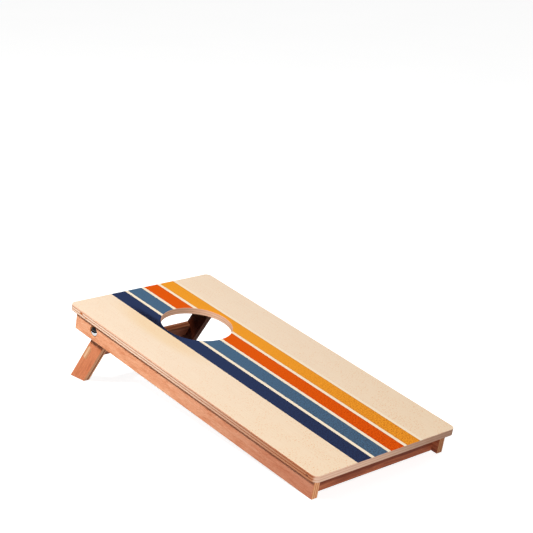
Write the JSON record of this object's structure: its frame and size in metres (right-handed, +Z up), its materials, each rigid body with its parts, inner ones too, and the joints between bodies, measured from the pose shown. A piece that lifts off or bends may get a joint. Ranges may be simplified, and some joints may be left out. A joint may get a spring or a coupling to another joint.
{
  "type": "cornhole board",
  "caption": "Compact plywood bag-toss board with a round hole, a set-in frame and folding rear legs.",
  "frame": {"origin": "on the floor, at the middle of the board's footprint with the legs open", "axes": "+Z up from the floor; +Y from the board's low end, where the players stand, to its high end; +X to the right seen from the low end"},
  "size_m": [0.3, 0.6412, 0.15],
  "materials": {
    "printed_deck": "printed cream face with four stripes, satin lacquer, raw birch ply edge",
    "stained_ply": "reddish hardwood plywood, oiled",
    "frame_ply": "reddish hardwood plywood, oiled",
    "beech": "raw turned beech",
    "chrome": "bright plated",
    "zinc": "zinc plated",
    "nylon": "natural nylon"
  },
  "bodies": {
    "board": {"cross_rail_high": "frame_ply", "cross_rail_low": "frame_ply", "deck_panel": "printed_deck", "deck_screw_high_left": "zinc", "deck_screw_high_right": "zinc", "deck_screw_left_1": "zinc", "deck_screw_left_2": "zinc", "deck_screw_left_3": "zinc", "deck_screw_low_left": "zinc", "deck_screw_low_right": "zinc", "deck_screw_right_1": "zinc", "deck_screw_right_2": "zinc", "deck_screw_right_3": "zinc", "frame_dowel_high_left_1": "beech", "frame_dowel_high_left_2": "beech", "frame_dowel_high_right_1": "beech", "frame_dowel_high_right_2": "beech", "frame_dowel_low_left_1": "beech", "frame_dowel_low_left_2": "beech", "frame_dowel_low_right_1": "beech", "frame_dowel_low_right_2": "beech", "pivot_block_left": "frame_ply", "pivot_block_right": "frame_ply", "pivot_bolt_left": "zinc", "pivot_bolt_right": "zinc", "pivot_sleeve_left": "chrome", "pivot_sleeve_right": "chrome", "pivot_washer_inner_left": "zinc", "pivot_washer_inner_right": "zinc", "pivot_washer_outer_left": "nylon", "pivot_washer_outer_right": "nylon", "side_rail_left": "stained_ply", "side_rail_right": "stained_ply"},
    "leg_frame": {"leg_left": "stained_ply", "leg_right": "stained_ply", "leg_spreader": "frame_ply", "spreader_screw_left_1": "zinc", "spreader_screw_left_2": "zinc", "spreader_screw_right_1": "zinc", "spreader_screw_right_2": "zinc"}
  },
  "joints": [
    {"name": "leg_fold", "type": "hinge", "parent": "board", "child": "leg_frame", "pos_m": [0, 0.21732, 0.111], "axis": [-1, 0, 0], "range_deg": [0, 116.67]}
  ]
}
